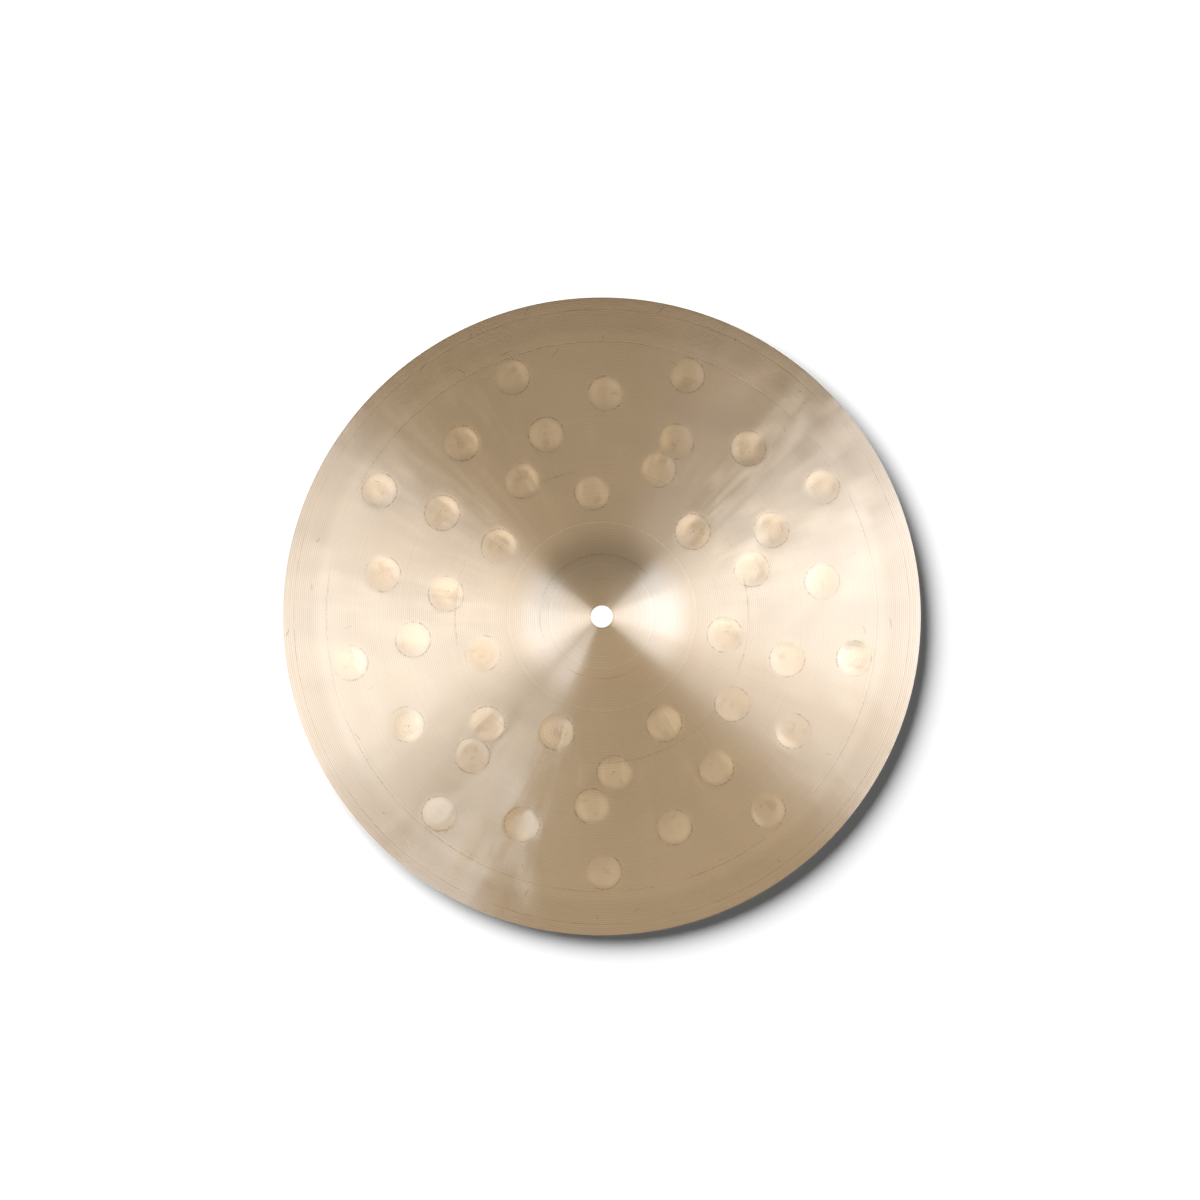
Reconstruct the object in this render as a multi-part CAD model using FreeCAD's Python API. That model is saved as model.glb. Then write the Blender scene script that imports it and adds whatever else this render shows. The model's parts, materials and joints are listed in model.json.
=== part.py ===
import FreeCAD, Part
import math
import os

# A thin crash cymbal: one sheet of cast bronze, spun to a bell and a shallow bow,
# turned on a lathe and struck with rings of round hammer marks.
# Millimetres, +Z up. The origin is the centre of the circle that the rim rests on.

# rim and bow
diameter = 355.6            # across the rim, fourteen inches
bow_height = 21.0           # rise of the bow from the rim to the foot of the bell
bow_start_slope = 4.0       # degrees, slope of the bow where it leaves the bell
rim_thickness = 0.7         # the bow thins to this from the bell's wall

# bell and its hole
bell_diameter = 103.2       # at the foot of the bell
bell_height = 19.0          # from the foot of the bell to its crown
bell_thickness = 1.1        # the same all over the bell
flare_width = 18.0          # the hollow flare that joins the dome to the bow
hole_diameter = 12.0        # takes the sleeve of a stand's post

# hammer marks: round dishes struck into the top, which stand out as far underneath
mark_diameter = 20.0
mark_depth = 0.5
mark_skirt = 2.0            # how far the caps that form a dish reach past its edge
first_row_clearance = 17.2  # from the foot of the bell to the centres of the first row
last_row_inset = 35.8       # from the rim to the centres of the last row
mark_rows = [               # marks in the row and the angle of its first mark in degrees
    (7, 43.0),
    (7, 17.5),
    (9, 27.0),
    (9, 9.0),
    (9, 30.5),
]

# turned lines: shallow round-bottomed grooves left by the lathe tool
line_width = 0.9
line_depth = 0.1
bell_line_inset = 22.9      # from the foot of the bell
outer_line_inset = 24.8     # from the rim
rim_line_inset = 6.4        # from the rim

rim_radius = diameter / 2
bell_radius = bell_diameter / 2
hole_radius = hole_diameter / 2
mark_radius = mark_diameter / 2


def offset(point, slope, distance):
    """Move a point (radius, height) along the normal of a surface with this slope."""
    return (point[0] + distance * math.sin(slope), point[1] + distance * math.cos(slope))


def space(point, turn=0.0):
    """A point (radius, height) of the profile, turned about the axis by an angle."""
    return FreeCAD.Vector(point[0] * math.cos(turn), point[0] * math.sin(turn), point[1])


# The middle of the sheet is three tangent arcs: dome, flare and bow.
start_slope = math.radians(bow_start_slope)
rim_centre = (rim_radius - rim_thickness / 2, rim_thickness / 2)
foot = (bell_radius, rim_centre[1] + bow_height)
crown_height = foot[1] + bell_height


def arc_from_foot(start, end):
    """The arc that leaves start with the bow's first slope and reaches end."""
    run = end[0] - start[0]
    drop = start[1] - end[1]
    bend = math.atan2(drop, run) - start_slope
    radius = math.hypot(run, drop) / (2 * math.sin(bend))
    centre = offset(start, start_slope, -radius)
    return centre, radius, start_slope + 2 * bend


end_slope = arc_from_foot(foot, rim_centre)[2]

# The steepest slope is where dome and flare meet. Each arc's rise is its width times
# the tangent of a half angle, which gives a quadratic in the tangent of half that slope.
turn_radius = bell_radius - flare_width
half_start = math.tan(start_slope / 2)
linear = bell_radius + bell_height * half_start
constant = bell_height - flare_width * half_start
root = math.sqrt(linear ** 2 - 4 * turn_radius * half_start * constant)
steepest_slope = 2 * math.atan(2 * constant / (linear + root))

dome_radius = turn_radius / math.sin(steepest_slope)
dome_centre = (0.0, crown_height - dome_radius)
flare_radius = flare_width / (math.sin(steepest_slope) - math.sin(start_slope))
flare_centre = offset(foot, start_slope, flare_radius)


class Skin:
    """One face of the sheet: side is 1 for the top and -1 for the underside."""

    def __init__(self, side):
        half_bell = side * bell_thickness / 2
        self.dome = dome_radius + half_bell
        self.flare = flare_radius - half_bell
        self.foot = offset(foot, start_slope, half_bell)
        self.rim = offset(rim_centre, end_slope, side * rim_thickness / 2)
        self.bow_centre, self.bow, self.bow_end = arc_from_foot(self.foot, self.rim)

    def dome_point(self, slope):
        return offset(dome_centre, slope, self.dome)

    def flare_point(self, slope):
        return offset(flare_centre, slope, -self.flare)

    def bow_point(self, slope):
        return offset(self.bow_centre, slope, self.bow)

    def on_dome(self, radius):
        """The dome's point at this radius and the slope there."""
        slope = math.asin(radius / self.dome)
        return self.dome_point(slope), slope

    def on_bow(self, radius):
        """The bow's point at this radius and the slope there."""
        slope = math.asin((radius - self.bow_centre[0]) / self.bow)
        return self.bow_point(slope), slope

    def edges(self):
        """The three arcs from the hole to the rim."""
        hole_point, hole_slope = self.on_dome(hole_radius)
        turn_point = self.dome_point(steepest_slope)
        dome_middle = self.dome_point((hole_slope + steepest_slope) / 2)
        flare_middle = self.flare_point((steepest_slope + start_slope) / 2)
        bow_middle = self.bow_point((start_slope + self.bow_end) / 2)
        return [
            arc(hole_point, dome_middle, turn_point),
            arc(turn_point, flare_middle, self.foot),
            arc(self.foot, bow_middle, self.rim),
        ]


def arc(start, middle, end):
    return Part.Arc(space(start), space(middle), space(end)).toShape()


top = Skin(1)
under = Skin(-1)


def plain_sheet():
    """The sheet before hammering, with a rounded rim and its hole."""
    nose = (
        rim_centre[0] + rim_thickness / 2 * math.cos(end_slope),
        rim_centre[1] - rim_thickness / 2 * math.sin(end_slope),
    )
    top_hole = top.on_dome(hole_radius)[0]
    under_hole = under.on_dome(hole_radius)[0]
    wall = Part.LineSegment(space(under_hole), space(top_hole)).toShape()
    outline = top.edges() + under.edges() + [wall, arc(top.rim, nose, under.rim)]
    profile = Part.Face(Part.Wire(Part.__sortEdges__(outline)))
    return profile.revolve(FreeCAD.Vector(0, 0, 0), FreeCAD.Vector(0, 0, 1), 360)


def cap(radius, centre, inward):
    """The cap of a ball, wide enough for a hammer mark, on the side that faces inward."""
    reach = math.degrees(math.asin((mark_radius + mark_skirt) / radius))
    return Part.makeSphere(radius, centre, -inward, -90, reach - 90, 360)


def hammer_mark(radius, turn):
    """The cap that presses one dish, and the cap of metal that stands out underneath."""
    point, slope = top.on_bow(radius)
    under_point = under.on_bow(radius)[0]
    wall = (point[1] - under_point[1]) * math.cos(slope)
    # on the curved bow a ball of this size leaves a dish of the stated width and depth
    ball_radius = 1 / (2 * mark_depth / mark_radius ** 2 - 1 / top.bow)
    centre = space(offset(point, slope, ball_radius - mark_depth), turn)
    inward = space(point, turn) - centre
    return cap(ball_radius, centre, inward), cap(ball_radius + wall, centre, inward)


def turned_line(point, slope):
    """The ring that cuts one shallow groove all the way round."""
    tool_radius = (line_width ** 2 / 4 + line_depth ** 2) / (2 * line_depth)
    ring = offset(point, slope, tool_radius - line_depth)
    axis = FreeCAD.Vector(0, 0, 1)
    return Part.makeTorus(ring[0], tool_radius, FreeCAD.Vector(0, 0, ring[1]), axis)


def make_cymbal():
    first_row = bell_radius + first_row_clearance
    last_row = rim_radius - last_row_inset
    row_step = (last_row - first_row) / (len(mark_rows) - 1)
    dishes = []
    bulges = []
    for row, (count, first_angle) in enumerate(mark_rows):
        for mark in range(count):
            turn = math.radians(first_angle + 360 * mark / count)
            dish, bulge = hammer_mark(first_row + row * row_step, turn)
            dishes.append(dish)
            bulges.append(bulge)
    lines = [
        turned_line(*top.on_dome(bell_radius - bell_line_inset)),
        turned_line(*top.on_bow(rim_radius - outer_line_inset)),
        turned_line(*top.on_bow(rim_radius - rim_line_inset)),
    ]
    return plain_sheet().fuse(bulges).cut(dishes).cut(lines)


os.makedirs("parts", exist_ok=True)
cymbal = make_cymbal()
cymbal.exportStep("parts/cymbal.step")

box = cymbal.optimalBoundingBox()
print("cymbal:", len(cymbal.Solids), "solid, valid", cymbal.isValid(), "faces", len(cymbal.Faces))
print("box", box.XLength, box.YLength, box.ZLength, "lowest", box.ZMin)
print("volume in cubic mm", cymbal.Volume)
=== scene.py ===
import bpy
import json
import math
import random
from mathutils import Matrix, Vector


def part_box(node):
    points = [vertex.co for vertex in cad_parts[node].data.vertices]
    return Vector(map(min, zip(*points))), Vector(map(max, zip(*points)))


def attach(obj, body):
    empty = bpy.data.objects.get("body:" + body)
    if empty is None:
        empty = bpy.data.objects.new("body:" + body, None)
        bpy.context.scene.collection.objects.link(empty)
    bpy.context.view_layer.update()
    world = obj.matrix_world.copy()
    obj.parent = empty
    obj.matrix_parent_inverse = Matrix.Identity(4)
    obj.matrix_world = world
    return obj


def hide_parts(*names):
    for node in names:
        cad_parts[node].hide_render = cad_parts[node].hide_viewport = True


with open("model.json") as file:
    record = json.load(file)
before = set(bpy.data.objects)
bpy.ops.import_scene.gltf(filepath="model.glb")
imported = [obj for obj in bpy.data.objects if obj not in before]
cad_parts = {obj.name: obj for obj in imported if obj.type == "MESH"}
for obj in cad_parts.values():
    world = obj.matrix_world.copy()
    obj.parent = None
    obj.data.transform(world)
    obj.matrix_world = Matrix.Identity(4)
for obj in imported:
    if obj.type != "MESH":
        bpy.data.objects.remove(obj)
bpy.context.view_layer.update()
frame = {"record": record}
print("frame loaded")

# the sheet: bell, bow and rim, in metres
sheet = {
    "footRadius": 0.0516,      # where the bell meets the bow
    "bellHeight": 0.019,
    "flareWidth": 0.018,       # hollow flare between the dome and the bow
    "bowStartSlope": 4.0,      # degrees
    "bellWall": 0.0011,
    "rimWall": 0.0007,
    "segments": 512,           # round the rim
    "domeStep": 0.0022,        # spacing of the rings on the top
    "flareStep": 0.0015,
    "bowStep": 0.0018,
    "rimStep": 0.0026,
    "underStep": 0.0031,       # the underside needs fewer
    "noseSteps": 6,            # round the rim's nose
    "holeBevel": 0.00022,
    "bevelSteps": 3,
}

# lines cut with the tool, from the hole outwards: radius, width, depth
turnedLines = [
    (0.0287, 0.0009, 0.0001),
    (0.0518, 0.0010, 0.00005),
    (0.1530, 0.0009, 0.0001),
    (0.1714, 0.0010, 0.0001),
]

# hammer marks: each row has its radius, how many and the angle of the first
marks = {
    "radius": 0.010,
    "depth": 0.0005,
    "bowl": 1.6,               # 1 is an even hollow, more is flatter in the middle and steeper outside
    "lip": 0.12,               # how softly the edge of a dish runs out
    "lean": (0.15, 0.50),      # no two blows fall alike: each is deeper to one side
    "seed": 14,
    "crease": 50.0,            # degrees, edges sharper than this stay sharp
    "rows": [
        (0.0688, 7, 43.0),
        (0.0871, 7, 17.5),
        (0.1054, 9, 27.0),
        (0.1237, 9, 9.0),
        (0.1420, 9, 30.5),
    ],
}

# hand hammering leaves the whole bow slightly uneven, most of all on two opposite sides
waves = {
    "size": 0.030,
    "height": 0.0015,
    "bearing": 38.0,
    "quietSide": 0.30,         # how much is left on the other two sides
    "starts": (0.058, 0.074),  # grows from nothing between these radii
    "ends": (0.164, 0.176),    # and dies away between these
}

lowCorner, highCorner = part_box("cymbal")
rimRadius = (highCorner.x - lowCorner.x) / 2
holeRadius = frame["record"]["mounts"][0]["dims"]["r_mm"] / 1000
crownTop = highCorner.z


def alongNormal(point, slope, distance):
    return (point[0] + distance * math.sin(slope), point[1] + distance * math.cos(slope))


def bowArc(start, end, slope):
    # the arc that leaves start with this slope and runs down to end
    run = end[0] - start[0]
    drop = start[1] - end[1]
    bend = math.atan2(drop, run) - slope
    radius = math.hypot(run, drop) / (2 * math.sin(bend))
    return alongNormal(start, slope, -radius), radius, slope + 2 * bend


def sheetArcs():
    # three tangent arcs, dome, flare and bow, run through the middle of the wall
    slope = math.radians(sheet["bowStartSlope"])
    rimCentre = (rimRadius - sheet["rimWall"] / 2, sheet["rimWall"] / 2)
    footRadius = sheet["footRadius"]
    turnRadius = footRadius - sheet["flareWidth"]
    halfStart = math.tan(slope / 2)
    linear = footRadius + sheet["bellHeight"] * halfStart
    constant = sheet["bellHeight"] - sheet["flareWidth"] * halfStart
    root = math.sqrt(linear ** 2 - 4 * turnRadius * halfStart * constant)
    steepest = 2 * math.atan(2 * constant / (linear + root))
    domeRadius = turnRadius / math.sin(steepest)
    flareRadius = sheet["flareWidth"] / (math.sin(steepest) - math.sin(slope))
    # the crown's height sets the bell, and the foot hangs below it
    holeSlope = math.asin(holeRadius / (domeRadius + sheet["bellWall"] / 2))
    crown = crownTop - sheet["bellWall"] / 2
    crown += (domeRadius + sheet["bellWall"] / 2) * (1 - math.cos(holeSlope))
    foot = (footRadius, crown - sheet["bellHeight"])
    return {
        "slope": slope,
        "steepest": steepest,
        "rimCentre": rimCentre,
        "rimSlope": bowArc(foot, rimCentre, slope)[2],
        "foot": foot,
        "domeCentre": (0.0, crown - domeRadius),
        "domeRadius": domeRadius,
        "flareCentre": alongNormal(foot, slope, flareRadius),
        "flareRadius": flareRadius,
    }


def skinHeight(arcs, side):
    # side 1 is the top of the sheet and -1 the underside
    half = side * sheet["bellWall"] / 2
    foot = alongNormal(arcs["foot"], arcs["slope"], half)
    rim = alongNormal(arcs["rimCentre"], arcs["rimSlope"], side * sheet["rimWall"] / 2)
    bowCentre, bowRadius, _ = bowArc(foot, rim, arcs["slope"])
    domeRadius = arcs["domeRadius"] + half
    flareRadius = arcs["flareRadius"] - half
    turnRadius = domeRadius * math.sin(arcs["steepest"])

    def height(radius):
        if radius < turnRadius:
            return arcs["domeCentre"][1] + math.sqrt(domeRadius ** 2 - radius ** 2)
        if radius < foot[0]:
            across = radius - arcs["flareCentre"][0]
            return arcs["flareCentre"][1] - math.sqrt(flareRadius ** 2 - across ** 2)
        return bowCentre[1] + math.sqrt(bowRadius ** 2 - (radius - bowCentre[0]) ** 2)

    return height, rim[0]


def between(start, end, step):
    # evenly spaced from start, and never quite reaching end
    count = max(1, round((end - start) / step))
    return [start + (end - start) * i / count for i in range(count)]


def topRadii(rimEnd):
    foot = sheet["footRadius"]
    turn = foot - sheet["flareWidth"]
    lastMark = marks["rows"][-1][0] + 1.2 * marks["radius"]
    radii = between(holeRadius, turn, sheet["domeStep"])
    radii += between(turn, foot + 0.002, sheet["flareStep"])
    radii += between(foot + 0.002, lastMark, sheet["bowStep"])
    radii += between(lastMark, rimEnd, sheet["rimStep"])
    for radius, width, _ in turnedLines:
        radii = [r for r in radii if abs(r - radius) > 0.8 * width]
        radii += [radius + width * share for share in (-0.6, -0.5, -0.25, 0, 0.25, 0.5, 0.6)]
    return sorted(radii) + [rimEnd]


def outlinePoints():
    arcs = sheetArcs()
    topHeight, topEnd = skinHeight(arcs, 1)
    underHeight, underEnd = skinHeight(arcs, -1)
    points = []
    for radius in topRadii(topEnd):
        cut = 0.0
        for lineRadius, width, depth in turnedLines:
            across = (radius - lineRadius) / (width / 2)
            cut += depth * max(0.0, 1 - across ** 2)
        points.append((radius, topHeight(radius) - cut))
    # the rim is rounded over half a turn
    for i in range(1, sheet["noseSteps"]):
        turn = arcs["rimSlope"] + math.pi * i / sheet["noseSteps"]
        points.append(alongNormal(arcs["rimCentre"], turn, sheet["rimWall"] / 2))
    under = between(holeRadius, underEnd, sheet["underStep"]) + [underEnd]
    points += [(radius, underHeight(radius)) for radius in reversed(under)]
    return points


def deselectAll():
    bpy.ops.object.select_all(action="DESELECT")


def turnSheet():
    # a single point is drawn out along the outline and the outline is spun
    points = outlinePoints()
    deselectAll()
    bpy.ops.mesh.primitive_plane_add(size=0.001, location=(0, 0, 0))
    piece = bpy.context.object
    piece.name = "cymbalSheet"
    bpy.ops.object.mode_set(mode="EDIT")
    bpy.ops.mesh.merge(type="CENTER")
    bpy.ops.transform.translate(value=(points[0][0], 0, points[0][1]))
    for before, after in zip(points, points[1:]):
        step = (after[0] - before[0], 0, after[1] - before[1])
        bpy.ops.mesh.extrude_region_move(TRANSFORM_OT_translate={"value": step})
    bpy.ops.object.mode_set(mode="OBJECT")
    # the outline's two ends meet in the wall of the hole
    for vertex in piece.data.vertices:
        vertex.select = abs(vertex.co.x - holeRadius) < 1e-7
    bpy.ops.object.mode_set(mode="EDIT")
    bpy.ops.mesh.edge_face_add()
    bpy.ops.mesh.select_all(action="SELECT")
    bpy.ops.mesh.spin(steps=sheet["segments"], angle=2 * math.pi, center=(0, 0, 0), axis=(0, 0, 1))
    bpy.ops.mesh.select_all(action="SELECT")
    bpy.ops.mesh.remove_doubles(threshold=0.000001)
    bpy.ops.mesh.normals_make_consistent(inside=False)
    bpy.ops.mesh.select_mode(type="EDGE")
    bpy.ops.mesh.select_all(action="DESELECT")
    bpy.ops.object.mode_set(mode="OBJECT")
    # both edges of the hole lose their sharp corner
    vertices = piece.data.vertices
    for edge in piece.data.edges:
        ends = [vertices[i].co for i in edge.vertices]
        onHole = all(abs(math.hypot(p.x, p.y) - holeRadius) < 1e-6 for p in ends)
        edge.select = onHole and abs(ends[0].z - ends[1].z) < 1e-6
    bpy.ops.object.mode_set(mode="EDIT")
    bpy.ops.mesh.bevel(offset=sheet["holeBevel"], segments=sheet["bevelSteps"], affect="EDGES")
    bpy.ops.object.mode_set(mode="OBJECT")
    return piece


def nearbyMarks(height):
    # for each row, its radius, and the centre and the lean of each mark
    chance = random.Random(marks["seed"])
    rows = []
    for radius, count, first in marks["rows"]:
        row = []
        for i in range(count):
            turn = math.radians(first + 360 * i / count)
            centre = Vector((radius * math.cos(turn), radius * math.sin(turn), height(radius)))
            way = chance.uniform(0, 2 * math.pi)
            lean = chance.uniform(*marks["lean"]) / marks["radius"]
            row.append((centre, Vector((lean * math.cos(way), lean * math.sin(way), 0))))
        rows.append((radius, row))
    return rows


def strikeMarks(piece):
    # one weight says how deep the hammer has gone, for the top and for the underside
    rows = nearbyMarks(skinHeight(sheetArcs(), 1)[0])
    groups = {side: piece.vertex_groups.new(name=side) for side in ("struck", "raised")}
    reach = 1.6 * marks["radius"]
    for vertex in piece.data.vertices:
        distance = math.hypot(vertex.co.x, vertex.co.y)
        depth = 0.0
        for radius, row in rows:
            if abs(distance - radius) > reach:
                continue
            centre, lean = min(row, key=lambda mark: (vertex.co - mark[0]).length_squared)
            offset = vertex.co - centre
            dish = 1 - (offset.length_squared / marks["radius"] ** 2) ** marks["bowl"]
            soft = (dish + math.sqrt(dish ** 2 + marks["lip"] ** 2)) / 2
            depth = max(depth, soft * (1 + offset.dot(lean)) / (1 + 0.5 * marks["lean"][1]))
        if depth > 0.003:
            side = "struck" if vertex.normal.z > 0 else "raised"
            groups[side].add([vertex.index], min(1.0, depth), "REPLACE")
    deselectAll()
    bpy.context.view_layer.objects.active = piece
    piece.select_set(True)
    for side, strength in (("struck", -marks["depth"]), ("raised", marks["depth"])):
        dent = piece.modifiers.new(side, "DISPLACE")
        dent.vertex_group = side
        dent.direction = "NORMAL"
        dent.mid_level = 0.0
        dent.strength = strength * (1 + 0.5 * marks["lean"][1])
        bpy.ops.object.modifier_apply(modifier=dent.name)
    piece.vertex_groups.clear()
    bpy.ops.object.shade_smooth_by_angle(angle=math.radians(marks["crease"]))


def ramp(value, start, end):
    share = min(1.0, max(0.0, (value - start) / (end - start)))
    return share * share * (3 - 2 * share)


def wavePiece(piece):
    # both skins move together, so the wall keeps its thickness, and the rim stays flat
    worked = piece.vertex_groups.new(name="worked")
    for vertex in piece.data.vertices:
        distance = math.hypot(vertex.co.x, vertex.co.y)
        weight = ramp(distance, *waves["starts"]) * (1 - ramp(distance, *waves["ends"]))
        if weight > 0:
            turn = math.atan2(vertex.co.y, vertex.co.x) - math.radians(waves["bearing"])
            weight *= waves["quietSide"] + (1 - waves["quietSide"]) * math.cos(turn) ** 2
            worked.add([vertex.index], weight, "REPLACE")
    cloud = bpy.data.textures.new("handWork", "CLOUDS")
    cloud.noise_scale = waves["size"]
    cloud.noise_depth = 1
    sway = piece.modifiers.new("handWork", "DISPLACE")
    sway.texture = cloud
    sway.texture_coords = "LOCAL"
    sway.vertex_group = "worked"
    sway.direction = "Z"
    sway.mid_level = 0.5
    sway.strength = waves["height"]
    bpy.ops.object.modifier_apply(modifier=sway.name)
    piece.vertex_groups.clear()


cymbal = turnSheet()
print("sheet turned:", len(cymbal.data.vertices), "points,", 2 * len(cymbal.data.polygons), "triangles")
strikeMarks(cymbal)
print("hammer marks struck")
wavePiece(cymbal)
print("sheet worked by hand")


def nodeMaker(tree):
    # adds a node, sets its properties and links or sets its inputs
    def add(kind, inputs=None, **settings):
        node = tree.nodes.new(kind)
        for name, value in settings.items():
            setattr(node, name, value)
        for key, value in (inputs or {}).items():
            if isinstance(value, bpy.types.NodeSocket):
                tree.links.new(value, node.inputs[key])
            else:
                node.inputs[key].default_value = value
        return node

    return add


def mathMaker(add):
    def calc(operation, *values, clamp=False):
        inputs = dict(enumerate(values))
        return add("ShaderNodeMath", inputs, operation=operation, use_clamp=clamp).outputs[0]

    return calc


def fade(add, value, start, end, low=0.0, high=1.0):
    # goes smoothly from low, at start, to high, at end
    inputs = {0: value, 1: start, 2: end, 3: low, 4: high}
    return add("ShaderNodeMapRange", inputs, interpolation_type="SMOOTHSTEP").outputs[0]


def noise(add, place, scale, detail=2.0, roughness=0.5):
    inputs = {"Vector": place, "Scale": scale, "Detail": detail, "Roughness": roughness}
    return add("ShaderNodeTexNoise", inputs).outputs[0]


def newGroup(name, inputs, outputs):
    group = bpy.data.node_groups.new(name, "ShaderNodeTree")
    for label, value in inputs.items():
        kind = "NodeSocketVector" if value is None else "NodeSocketFloat"
        socket = group.interface.new_socket(label, in_out="INPUT", socket_type=kind)
        if value is not None:
            socket.default_value = value
    for label in outputs:
        group.interface.new_socket(label, in_out="OUTPUT", socket_type="NodeSocketFloat")
    add = nodeMaker(group)
    given = add("NodeGroupInput").outputs
    result = add("NodeGroupOutput").inputs
    return group, add, given, lambda source, label: group.links.new(source, result[label])


def placeGroup(add, group, inputs):
    return add("ShaderNodeGroup", inputs, node_tree=group).outputs


def aroundAxisGroup():
    # distance from the axis, and the angle round it
    group, add, given, send = newGroup("aroundTheAxis", {"Place": None}, ["Radius", "Angle"])
    calc = mathMaker(add)
    parts = add("ShaderNodeSeparateXYZ", {0: given["Place"]}).outputs
    squares = calc("ADD", calc("MULTIPLY", parts[0], parts[0]), calc("MULTIPLY", parts[1], parts[1]))
    send(calc("SQRT", squares), "Radius")
    send(calc("ARCTAN2", parts[1], parts[0]), "Angle")
    return group


def markRowGroup():
    # how far a point is from the nearest mark of one row
    group, add, given, send = newGroup(
        "hammerRow",
        {"Radius": 0.0, "Angle": 0.0, "Row Radius": 0.1, "Count": 9.0, "First": 0.0},
        ["Distance"],
    )
    calc = mathMaker(add)
    share = calc("DIVIDE", 2 * math.pi, given["Count"])
    half = calc("DIVIDE", share, 2.0)
    turned = calc("ADD", calc("SUBTRACT", given["Angle"], given["First"]), half)
    folded = calc("SUBTRACT", calc("FLOORED_MODULO", turned, share), half)
    outwards = calc("MULTIPLY", given["Radius"], calc("COSINE", folded))
    outwards = calc("SUBTRACT", outwards, given["Row Radius"])
    sideways = calc("MULTIPLY", given["Radius"], calc("SINE", folded))
    total = calc("ADD", calc("MULTIPLY", outwards, outwards), calc("MULTIPLY", sideways, sideways))
    send(calc("SQRT", total), "Distance")
    return group


def nearestMarkGroup(rowGroup):
    group, add, given, send = newGroup("nearestMark", {"Radius": 0.0, "Angle": 0.0}, ["Distance"])
    calc = mathMaker(add)
    nearest = 1.0
    for radius, count, first in marks["rows"]:
        inputs = {
            "Radius": given["Radius"],
            "Angle": given["Angle"],
            "Row Radius": radius,
            "Count": float(count),
            "First": math.radians(first),
        }
        nearest = calc("MINIMUM", nearest, placeGroup(add, rowGroup, inputs)["Distance"])
    send(nearest, "Distance")
    return group


def grooveGroup():
    # fine tool marks all round, each a little different from the next
    group, add, given, send = newGroup(
        "latheGrooves",
        {"Place": None, "Radius": 0.0, "Pitch": 0.00112, "Unevenness": 0.7},
        ["Height", "Tone"],
    )
    calc = mathMaker(add)
    turns = calc("DIVIDE", given["Radius"], given["Pitch"])
    wave = calc("SINE", calc("MULTIPLY", turns, 2 * math.pi))
    drift = add(
        "ShaderNodeTexNoise",
        {"W": turns, "Scale": 0.73, "Detail": 3.0, "Roughness": 0.7},
        noise_dimensions="1D",
    ).outputs[0]
    patch = calc("SUBTRACT", noise(add, given["Place"], 38.0, 1.0), 0.5)
    strength = calc("MULTIPLY_ADD", patch, given["Unevenness"], 0.8)
    uneven = calc("MULTIPLY_ADD", drift, 1.2, -0.6)
    mixed = calc("MULTIPLY_ADD", wave, strength, uneven)
    send(mixed, "Height")
    send(calc("MULTIPLY_ADD", mixed, 0.5, 0.5, clamp=True), "Tone")
    return group


def brokenLineGroup():
    # a thin line that shows in some places and not in others, and breaks into dots
    group, add, given, send = newGroup(
        "brokenLine",
        {"Place": None, "Gap": 0.0, "Width": 0.0004, "Patch": 70.0, "Dots": 800.0, "Coverage": 0.5},
        ["Mask"],
    )
    calc = mathMaker(add)
    wander = calc("MULTIPLY_ADD", noise(add, given["Place"], 240.0, 1.0), 0.0006, -0.0003)
    across = calc("DIVIDE", calc("ABSOLUTE", calc("ADD", given["Gap"], wander)), given["Width"])
    line = fade(add, across, 0.2, 1.0, 1.0, 0.0)
    patch = noise(add, given["Place"], given["Patch"], 2.0, 0.5)
    edge = calc("MULTIPLY_ADD", given["Coverage"], -0.4, 0.7)
    shown = fade(add, calc("SUBTRACT", patch, edge), -0.09, 0.09)
    dots = fade(add, noise(add, given["Place"], given["Dots"], 1.0), 0.36, 0.62, 0.15, 1.0)
    send(calc("MULTIPLY", calc("MULTIPLY", line, shown), dots), "Mask")
    return group


def tickGroup():
    # short scratches, one to a cell, each turned its own way
    group, add, given, send = newGroup(
        "handlingTicks",
        {"Place": None, "Scale": 45.0, "Length": 0.004, "Width": 0.0003, "Share": 0.4},
        ["Mask"],
    )
    calc = mathMaker(add)
    cells = add(
        "ShaderNodeTexVoronoi",
        {"Vector": given["Place"], "Scale": given["Scale"]},
        voronoi_dimensions="2D",
    ).outputs
    own = add("ShaderNodeSeparateColor", {0: cells["Color"]}).outputs
    ends = {0: given["Place"], 1: cells["Position"]}
    local = add("ShaderNodeVectorMath", ends, operation="SUBTRACT")
    turn = calc("MULTIPLY", own[0], 2 * math.pi)
    turning = {"Vector": local.outputs[0], "Angle": turn}
    turned = add("ShaderNodeVectorRotate", turning, rotation_type="Z_AXIS").outputs[0]
    parts = add("ShaderNodeSeparateXYZ", {0: turned}).outputs
    wobble = calc("MULTIPLY_ADD", noise(add, given["Place"], 420.0), 0.0009, -0.00045)
    across = calc("DIVIDE", calc("ABSOLUTE", calc("ADD", parts[0], wobble)), given["Width"])
    along = calc("DIVIDE", calc("ABSOLUTE", parts[1]), calc("MULTIPLY", given["Length"], own[1]))
    body = calc("MULTIPLY", fade(add, across, 0.4, 1.0, 1.0, 0.0), fade(add, along, 0.5, 1.0, 1.0, 0.0))
    chosen = calc("LESS_THAN", own[2], given["Share"])
    send(calc("MULTIPLY", body, chosen), "Mask")
    return group


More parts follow.
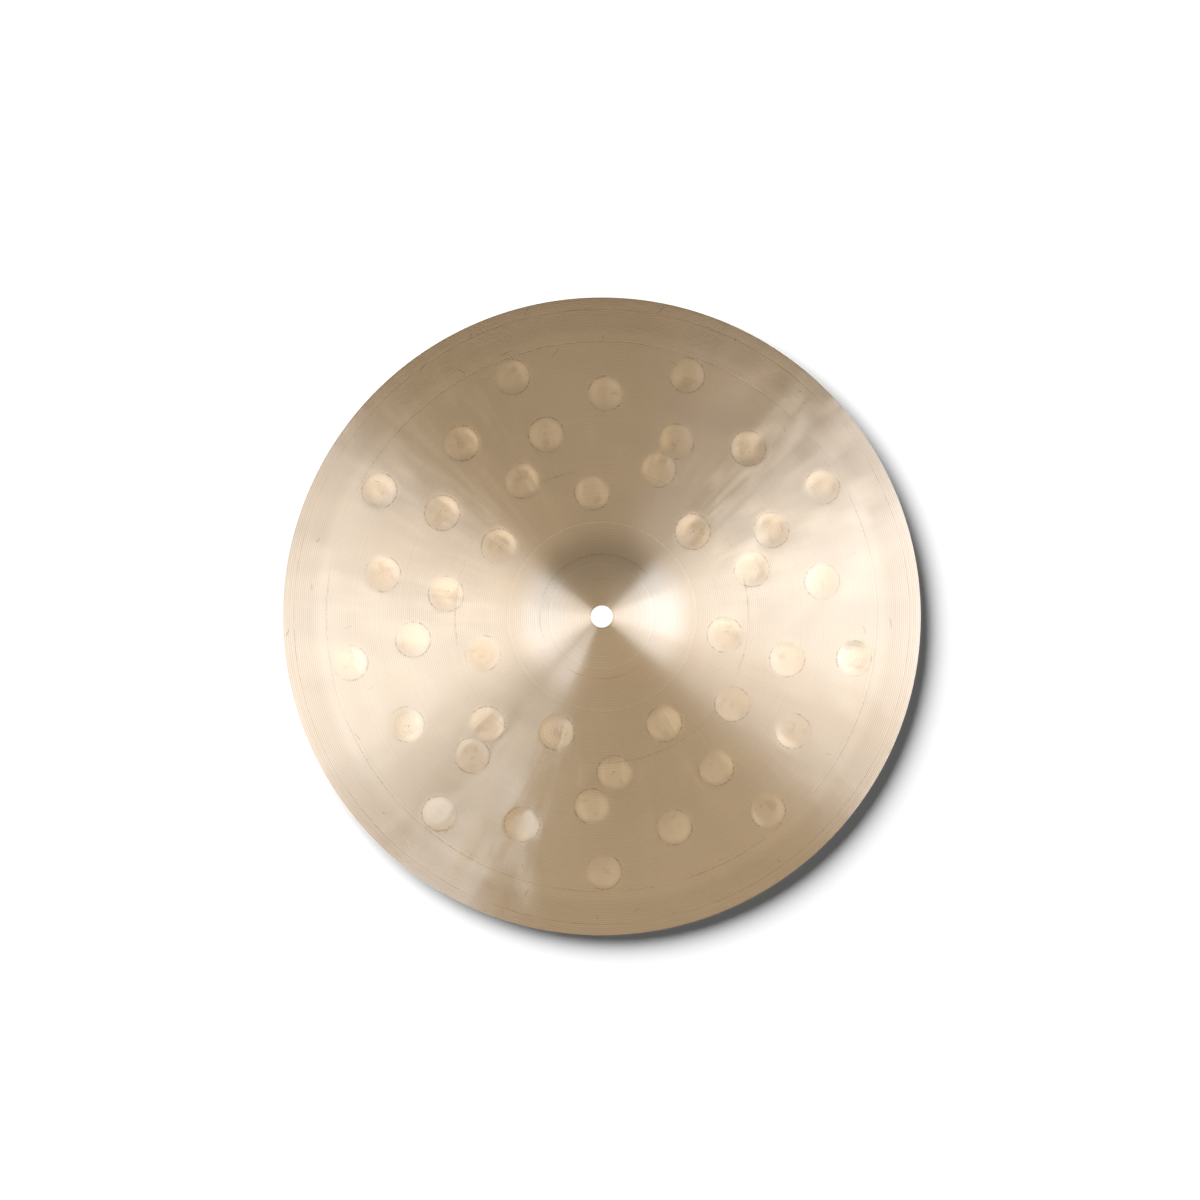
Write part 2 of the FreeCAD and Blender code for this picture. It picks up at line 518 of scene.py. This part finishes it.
def wavinessGroup():
    # the sheet is never quite even: soft swells, and streaks that run outwards
    group, add, given, send = newGroup(
        "handWorkedSheet",
        {"Place": None, "Radius": 0.0, "Angle": 0.0, "Streaks": 7.0},
        ["Swell", "Streak"],
    )
    calc = mathMaker(add)
    send(noise(add, given["Place"], 26.0, 1.5, 0.45), "Swell")
    spread = calc("MULTIPLY", calc("SINE", given["Angle"]), given["Streaks"])
    other = calc("MULTIPLY", calc("COSINE", given["Angle"]), given["Streaks"])
    outwards = calc("MULTIPLY", given["Radius"], 14.0)
    rays = add("ShaderNodeCombineXYZ", {0: spread, 1: other, 2: outwards}).outputs[0]
    send(noise(add, rays, 1.0, 2.0, 0.5), "Streak")
    return group


aroundAxis = aroundAxisGroup()
nearestMark = nearestMarkGroup(markRowGroup())
latheGrooves = grooveGroup()
brokenLine = brokenLineGroup()
handlingTicks = tickGroup()
handWorked = wavinessGroup()

# the alloy, the same on every face of the sheet
bronze = {
    "color": (0.86, 0.70, 0.51),
    # the oxide colour is also used for the painted shade at the rim's very edge
    "oxideAndShade": (0.30, 0.16, 0.07),
    "fresh": (1.0, 0.90, 0.74),
    "roughness": 0.40,
    "anisotropy": 1.0,
    "grainTurn": 0.25,         # so that reflections spread across the grooves
    "bumpUnit": 0.00001,
}

topFinish = {
    "burnished": 0.28,         # roughness inside a mark, where the blow has closed the grooves
    "closed": 0.7,             # how much of the grooves' depth the blow takes away
    "unevenRoughness": 0.06,
    "grooveDepth": 1.5,
    "grooveTone": 0.17,
    "bellPitch": 0.0016,
    "bellRings": 0.07,
    "bellEdge": (0.050, 0.060),
    "streak": 45.0,
    "bellStreak": 0.06,        # the share of the streaks that is left on the bell
    "swell": 60.0,
    "rimBand": (0.156, 0.162),  # deeper tool marks from here out
    "rimGrooves": 1.6,
    "rimToneAndEdgeShade": 0.05,
    # painted shade: the band at the very edge is darkened where the rounded rim turns away from the
    # light
    "edgeShadeWidth": 0.0022,        # the darker band at the very edge
    "markEdge": 0.46,
    "markEdgeWidth": 0.00065,
    "pits": 0.78,
    "smudge": 0.17,
    "lineTone": 0.28,
    "cutLine": 0.30,
    "ticks": 0.50,
    "tickScale": 34.0,
    "tickShare": 0.6,
    "patina": 0.07,
    # thin lines: radius, width, size of the patches where they show, how much shows
    "darkRings": [
        (0.1530, 0.00055, 40.0, 0.55),
        (0.1714, 0.00050, 40.0, 0.45),
        (0.0343, 0.00070, 45.0, 0.50),
        (0.0812, 0.00080, 30.0, 0.35),
        (holeRadius + 0.0004, 0.00060, 60.0, 0.90),
    ],
    "freshRings": [
        (0.0287, 0.00060, 20.0, 1.0),
        (0.0522, 0.00070, 20.0, 0.8),
    ],
}

underFinish = {
    "color": (0.80, 0.63, 0.44),
    "groovePitch": 0.0021,
    "grooveDepth": 1.6,
    "grooveTone": 0.16,
    "streak": 10.0,
    "patina": 0.15,
    "prints": 0.10,
    "crest": 0.12,             # the backs of the marks are rubbed
    "roughness": 0.46,
    "rings": [
        (0.0500, 0.0008, 40.0, 0.6),
        (0.1600, 0.0006, 40.0, 0.6),
    ],
}

edgeFinish = {
    "color": (0.82, 0.65, 0.46),
    "roughness": 0.34,
    "anisotropy": 0.6,
    "scratch": 0.18,
}


def layer(add, color, mask, tint):
    inputs = {"Factor": mask, 6: color, 7: (*tint, 1)}
    return add("ShaderNodeMix", inputs, data_type="RGBA").outputs[2]


def startMaterial(name):
    material = bpy.data.materials.new(name)
    material.use_nodes = True
    material.node_tree.nodes.clear()
    add = nodeMaker(material.node_tree)
    place = add("ShaderNodeTexCoord").outputs["Object"]
    around = placeGroup(add, aroundAxis, {"Place": place})
    return material, add, place, around


def finishMetal(material, add, color, roughness, height, anisotropy):
    surface = add("ShaderNodeBump", {"Height": height, "Distance": bronze["bumpUnit"]})
    tangent = add("ShaderNodeTangent", direction_type="RADIAL", axis="Z")
    metal = add(
        "ShaderNodeBsdfPrincipled",
        {
            "Base Color": color,
            "Metallic": 1.0,
            "Roughness": roughness,
            "Anisotropic": anisotropy,
            "Anisotropic Rotation": bronze["grainTurn"],
            "Tangent": tangent.outputs[0],
            "Normal": surface.outputs[0],
        },
    )
    result = add("ShaderNodeOutputMaterial")
    material.node_tree.links.new(metal.outputs[0], result.inputs[0])
    return material


def lineMaker(add, place, radius):
    # broken lines: along a gap, or round the cymbal at given radii
    calc = mathMaker(add)

    def line(gap, width, patch, coverage):
        inputs = {"Place": place, "Gap": gap, "Width": width, "Patch": patch, "Coverage": coverage}
        return placeGroup(add, brokenLine, inputs)["Mask"]

    def rings(rows):
        shown = 0.0
        for at, width, patch, coverage in rows:
            one = line(calc("SUBTRACT", radius, at), width, patch, coverage)
            shown = calc("MAXIMUM", one, shown)
        return shown

    return line, rings


def topBronze():
    material, add, place, around = startMaterial("turnedBronze")
    calc = mathMaker(add)
    radius, angle = around["Radius"], around["Angle"]
    line, rings = lineMaker(add, place, radius)
    nearest = placeGroup(add, nearestMark, {"Radius": radius, "Angle": angle})["Distance"]
    grooves = placeGroup(add, latheGrooves, {"Place": place, "Radius": radius})
    bellCut = {"Place": place, "Radius": radius, "Pitch": topFinish["bellPitch"], "Unevenness": 0.3}
    bellRings = placeGroup(add, latheGrooves, bellCut)["Tone"]
    sheetWave = placeGroup(add, handWorked, {"Place": place, "Radius": radius, "Angle": angle})

    # the hammer leaves a dark broken edge, pits near the middle and a smudge to one side
    size = marks["radius"]
    gap = calc("SUBTRACT", nearest, 0.98 * size)
    markEdge = line(gap, topFinish["markEdgeWidth"], 75.0, 0.55)
    middle = fade(add, nearest, 0.08 * size, 0.36 * size, 1.0, 0.0)
    cluster = fade(add, noise(add, place, 190.0, 1.0), 0.52, 0.62)
    pits = fade(add, noise(add, place, 900.0, 1.0), 0.62, 0.70)
    pits = calc("MULTIPLY", calc("MULTIPLY", pits, cluster), middle)
    inMark = fade(add, nearest, 0.5 * size, 0.98 * size, 1.0, 0.0)
    smudge = calc("MULTIPLY", inMark, fade(add, noise(add, place, 120.0, 2.0), 0.52, 0.68))
    struck = fade(add, nearest, 0.6 * size, 1.05 * size, 1.0, 0.0)

    # turned lines, the rim, painted shade in the band at the very edge, and what handling leaves
    lines = rings(topFinish["darkRings"])
    fresh = rings(topFinish["freshRings"])
    rim = fade(add, radius, *topFinish["rimBand"])
    bell = fade(add, radius, *topFinish["bellEdge"], 1.0, 0.0)
    # painted shade: darker towards the very edge, where the rounded rim turns away from the light
    lip = fade(add, radius, rimRadius - topFinish["edgeShadeWidth"], rimRadius)
    scattered = {"Place": place, "Scale": topFinish["tickScale"], "Share": topFinish["tickShare"]}
    ticks = placeGroup(add, handlingTicks, scattered)["Mask"]
    ticks = calc("MULTIPLY", ticks, fade(add, radius, 0.120, 0.165, 0.2, 1.0))
    patina = fade(add, noise(add, place, 9.0, 3.0), 0.42, 0.66)

    # colour: each layer darkens towards the oxide colour, which also paints the shade at the very edge,
    # and the fresh cuts lie on top
    stronger = calc("MULTIPLY_ADD", rim, topFinish["rimGrooves"] - 1, 1.0)
    tone = calc("MULTIPLY", calc("MULTIPLY", grooves["Tone"], topFinish["grooveTone"]), stronger)
    marksWearAndEdgeShade = (
        (tone, 1.0),
        (calc("MULTIPLY", bellRings, bell), topFinish["bellRings"]),
        (patina, topFinish["patina"]),
        (calc("MAXIMUM", rim, lip), topFinish["rimToneAndEdgeShade"]),
        # painted shade: the band at the very edge is darkened once more
        (lip, topFinish["rimToneAndEdgeShade"]),
        (smudge, topFinish["smudge"]),
        (markEdge, topFinish["markEdge"]),
        (pits, topFinish["pits"]),
        (lines, topFinish["lineTone"]),
        (ticks, topFinish["ticks"]),
    )
    color = (*bronze["color"], 1)
    for mask, strength in marksWearAndEdgeShade:
        color = layer(add, color, calc("MULTIPLY", mask, strength), bronze["oxideAndShade"])
    color = layer(add, color, calc("MULTIPLY", fresh, topFinish["cutLine"]), bronze["fresh"])

    # height: grooves, closed where the hammer fell, then the streaks and swells of the sheet
    height = calc("MULTIPLY", calc("MULTIPLY", grooves["Height"], topFinish["grooveDepth"]), stronger)
    height = calc("MULTIPLY", height, calc("MULTIPLY_ADD", struck, -topFinish["closed"], 1.0))
    onBow = fade(add, radius, 0.045, 0.085, topFinish["bellStreak"], 1.0)
    streak = calc("MULTIPLY", onBow, topFinish["streak"])
    height = calc("MULTIPLY_ADD", sheetWave["Streak"], streak, height)
    height = calc("MULTIPLY_ADD", sheetWave["Swell"], topFinish["swell"], height)

    uneven = topFinish["unevenRoughness"]
    outside = calc("MULTIPLY_ADD", sheetWave["Swell"], uneven, bronze["roughness"] - uneven / 2)
    drop = bronze["roughness"] - topFinish["burnished"]
    roughness = calc("MULTIPLY_ADD", struck, -drop, outside)
    return finishMetal(material, add, color, roughness, height, bronze["anisotropy"])


def underBronze():
    material, add, place, around = startMaterial("undersideBronze")
    calc = mathMaker(add)
    radius, angle = around["Radius"], around["Angle"]
    _, rings = lineMaker(add, place, radius)
    nearest = placeGroup(add, nearestMark, {"Radius": radius, "Angle": angle})["Distance"]
    coarse = {"Place": place, "Radius": radius, "Pitch": underFinish["groovePitch"], "Unevenness": 0.6}
    grooves = placeGroup(add, latheGrooves, coarse)
    sheetWave = placeGroup(add, handWorked, {"Place": place, "Radius": radius, "Angle": angle})
    crest = fade(add, nearest, 0.002, 0.007, 1.0, 0.0)
    patina = fade(add, noise(add, place, 14.0, 4.0, 0.6), 0.38, 0.62)
    prints = fade(add, noise(add, place, 65.0, 3.0, 0.6), 0.55, 0.68)
    wear = (
        (grooves["Tone"], underFinish["grooveTone"]),
        (patina, underFinish["patina"]),
        (prints, underFinish["prints"]),
        (rings(underFinish["rings"]), topFinish["lineTone"]),
    )
    color = (*underFinish["color"], 1)
    for mask, strength in wear:
        color = layer(add, color, calc("MULTIPLY", mask, strength), bronze["oxideAndShade"])
    color = layer(add, color, calc("MULTIPLY", crest, underFinish["crest"]), bronze["fresh"])
    height = calc("MULTIPLY", grooves["Height"], underFinish["grooveDepth"])
    height = calc("MULTIPLY_ADD", sheetWave["Streak"], underFinish["streak"], height)
    roughness = calc("MULTIPLY_ADD", patina, 0.08, underFinish["roughness"])
    return finishMetal(material, add, color, roughness, height, bronze["anisotropy"])


def edgeBronze():
    material, add, place, _ = startMaterial("filedEdge")
    calc = mathMaker(add)
    # scratches are drawn out round the edge, so the pattern is squeezed in height
    squeezed = {0: place, 1: (1.0, 1.0, 8.0)}
    spread = add("ShaderNodeVectorMath", squeezed, operation="MULTIPLY").outputs[0]
    scratch = fade(add, noise(add, spread, 900.0, 3.0, 0.6), 0.50, 0.64)
    mask = calc("MULTIPLY", scratch, edgeFinish["scratch"])
    color = layer(add, (*edgeFinish["color"], 1), mask, bronze["oxideAndShade"])
    height = calc("MULTIPLY", scratch, -1.0)
    roughness = calc("MULTIPLY_ADD", scratch, 0.10, edgeFinish["roughness"])
    return finishMetal(material, add, color, roughness, height, edgeFinish["anisotropy"])


def dressSheet(piece):
    # slot 0 is the top, 1 the underside, 2 the rim's nose and the wall of the hole
    for finish in (topBronze(), underBronze(), edgeBronze()):
        piece.data.materials.append(finish)
    nose = rimRadius - 0.45 * sheet["rimWall"]
    wall = holeRadius + 0.5 * sheet["holeBevel"]
    for face in piece.data.polygons:
        distance = math.hypot(face.center.x, face.center.y)
        if distance > nose or distance < wall:
            face.material_index = 2
        elif face.normal.z < 0:
            face.material_index = 1


dressSheet(cymbal)
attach(cymbal, "root")
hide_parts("cymbal")
print("bronze ready")

# studio: the backdrop is what the camera sees, the fill is what the bronze reflects
studio = {
    "floorSize": 8.0,
    "floorColor": (0.8, 0.8, 0.8),
    "floorFill": 0.12,
    "backdrop": 1.0,
    # the fill, from the top down: a wide lamp that is weaker behind, a canopy round it that is
    # weak behind, bright at the sides and open at the front, and a little from the front itself
    "overhead": (0.62, 1.4),
    "overheadEdge": (0.90, 0.93),
    "canopy": (0.72, 1.98),
    "canopyEdge": (0.72, 0.80),
    "front": 0.76,
    "frontEdge": (0.66, 0.74),
    # the dark round lens in the middle of the lamp: where it is, and its radius, in degrees
    "lensPlace": (90, 88),
    "lensSize": (5.0, 7.5),
    "fillColor": (1.0, 0.868, 0.685),
    "lampColor": (1.0, 0.915, 0.78),
}


def direction(bearing, elevation):
    bearing, elevation = math.radians(bearing), math.radians(elevation)
    flat = math.cos(elevation)
    return Vector((flat * math.cos(bearing), flat * math.sin(bearing), math.sin(elevation)))


def makeFloor():
    deselectAll()
    bpy.ops.mesh.primitive_plane_add(size=studio["floorSize"], location=(0, 0, 0))
    floor = bpy.context.object
    floor.name = "studioFloor"
    material = bpy.data.materials.new("palePaper")
    material.use_nodes = True
    paper = material.node_tree.nodes["Principled BSDF"]
    paper.inputs["Base Color"].default_value = (*studio["floorColor"], 1)
    paper.inputs["Roughness"].default_value = 0.9
    paper.inputs["Specular IOR Level"].default_value = 0.0
    floor.data.materials.append(material)
    return floor


# the key lights only the floor, and a ring that isn't seen takes the cymbal's part in its shadow
key = {
    "bearing": 137.0,
    "elevation": 45.0,
    "softness": 44.0,
    "strength": 5.4,
    "ringHeight": 0.0125,
    "ringInner": 0.06,
}


def linkGroup(name, members):
    collection = bpy.data.collections.new(name)
    for member in members:
        collection.objects.link(member)
    return collection


def makeShadowRing():
    deselectAll()
    bpy.ops.mesh.primitive_circle_add(
        vertices=128, radius=rimRadius, fill_type="NGON", location=(0, 0, key["ringHeight"])
    )
    ring = bpy.context.object
    ring.name = "shadowRing"
    bpy.ops.object.mode_set(mode="EDIT")
    bpy.ops.mesh.inset(thickness=rimRadius - key["ringInner"])
    bpy.ops.mesh.delete(type="FACE")
    bpy.ops.object.mode_set(mode="OBJECT")
    bpy.ops.object.transform_apply(location=True, rotation=True, scale=True)
    ring.visible_camera = False
    ring.visible_diffuse = False
    ring.visible_glossy = False
    ring.visible_transmission = False
    return ring


def aim(light, place):
    light.location = place
    light.rotation_euler = (-place).to_track_quat("-Z", "Y").to_euler()


def makeKey(floor, ring):
    deselectAll()
    bpy.ops.object.light_add(type="SUN")
    sun = bpy.context.object
    sun.name = "floorKey"
    sun.data.energy = key["strength"]
    sun.data.angle = math.radians(key["softness"])
    aim(sun, 3 * direction(key["bearing"], key["elevation"]))
    sun.light_linking.receiver_collection = linkGroup("keyReceivers", [floor])
    sun.light_linking.blocker_collection = linkGroup("keyBlockers", [ring])


# softboxes, in degrees and metres: where each stands, how wide and tall it is, how bright;
# two stand one in front of another on each side, so that the light falls off towards its ends
softboxes = {
    "rightBox": {"bearing": 2, "elevation": 27, "away": 1.6, "size": (2.4, 1.3), "radiance": 1.8},
    "rightCore": {"bearing": 3, "elevation": 27, "away": 1.6, "size": (1.0, 1.3), "radiance": 1.05},
    "leftBox": {"bearing": 184, "elevation": 27, "away": 1.6, "size": (2.4, 1.3), "radiance": 1.6},
    "leftCore": {"bearing": 192, "elevation": 30, "away": 1.6, "size": (1.0, 1.3), "radiance": 0.6},
    "frontStrip": {"bearing": 238, "elevation": 34, "away": 1.6, "size": (0.45, 1.2), "radiance": 1.35},
}
softboxColor = (0.805, 1.03, 1.45)


def makeSoftbox(name, cymbalOnly):
    box = softboxes[name]
    across, up = box["size"]
    deselectAll()
    bpy.ops.object.light_add(type="AREA")
    light = bpy.context.object
    light.name = name
    light.data.shape = "RECTANGLE"
    light.data.size = across
    light.data.size_y = up
    light.data.color = softboxColor
    light.data.energy = box["radiance"] * math.pi * across * up
    aim(light, box["away"] * direction(box["bearing"], box["elevation"]))
    light.light_linking.receiver_collection = cymbalOnly
    light.light_linking.blocker_collection = cymbalOnly


def makeWorld():
    world = bpy.data.worlds.new("studioAir")
    bpy.context.scene.world = world
    world.use_nodes = True
    tree = world.node_tree
    tree.nodes.clear()
    add = nodeMaker(tree)
    calc = mathMaker(add)
    path = add("ShaderNodeLightPath").outputs
    seen, onFloor = path["Is Camera Ray"], path["Is Diffuse Ray"]
    towards = add("ShaderNodeTexCoord").outputs["Generated"]
    parts = add("ShaderNodeSeparateXYZ", {0: towards}).outputs
    forwards, upwards = parts[1], parts[2]
    lensWay = {0: towards, 1: direction(*studio["lensPlace"])}
    lensDot = add("ShaderNodeVectorMath", lensWay, operation="DOT_PRODUCT").outputs["Value"]
    inner, outer = (math.cos(math.radians(size)) for size in studio["lensSize"])
    lens = fade(add, lensDot, outer, inner, 1.0, 0.0)
    above = fade(add, upwards, *studio["overheadEdge"])
    canopy = calc("MULTIPLY", fade(add, upwards, *studio["canopyEdge"]), calc("SUBTRACT", 1.0, above))
    canopy = calc("MULTIPLY", canopy, fade(add, forwards, -0.35, -0.10))
    sides = fade(add, forwards, 0.45, 0.15, *studio["canopy"])
    front = calc("MULTIPLY", fade(add, forwards, 0.0, -0.4), fade(add, upwards, 0.0, 0.25))
    front = calc("MULTIPLY", front, fade(add, upwards, *studio["frontEdge"], 1.0, 0.0))
    lamp = fade(add, forwards, 0.25, -0.25, *studio["overhead"])
    fill = calc("MULTIPLY", calc("MULTIPLY", above, lens), lamp)
    fill = calc("MULTIPLY_ADD", front, studio["front"], fill)
    fill = calc("MULTIPLY_ADD", canopy, sides, fill)
    other = calc("SUBTRACT", calc("SUBTRACT", 1.0, seen), onFloor)
    strength = calc("MULTIPLY", fill, other)
    strength = calc("MULTIPLY_ADD", onFloor, studio["floorFill"], strength)
    warm = layer(add, (*studio["fillColor"], 1), above, studio["lampColor"])
    whiteOrWarm = {"Factor": other, 6: (1, 1, 1, 1), 7: warm}
    fillLight = add("ShaderNodeMix", whiteOrWarm, data_type="RGBA").outputs[2]
    strength = calc("MULTIPLY_ADD", seen, studio["backdrop"], strength)
    back = add("ShaderNodeBackground", {"Strength": strength, "Color": fillLight})
    result = add("ShaderNodeOutputWorld")
    tree.links.new(back.outputs[0], result.inputs[0])
    world.cycles.sampling_method = "NONE"


# the camera hangs over the cymbal, a little towards the top of the picture
picture = {
    "span": 0.669,             # metres across the picture, at the rim
    "distance": 2.79,
    "sensor": 36.0,
    "aside": (-0.00098, 0.0091),
}


def makeCamera():
    camera = bpy.data.cameras.new("overhead")
    holder = bpy.data.objects.new("overhead", camera)
    bpy.context.scene.collection.objects.link(holder)
    camera.sensor_width = picture["sensor"]
    camera.lens = picture["sensor"] * picture["distance"] / picture["span"]
    holder.location = (*picture["aside"], picture["distance"])
    camera.clip_end = 20
    bpy.context.scene.camera = holder
    bpy.context.scene.view_settings.view_transform = "Standard"


floor = makeFloor()
makeKey(floor, makeShadowRing())
cymbalOnly = linkGroup("cymbalOnly", [cymbal])
for name in softboxes:
    makeSoftbox(name, cymbalOnly)
makeWorld()
makeCamera()
print("studio ready")
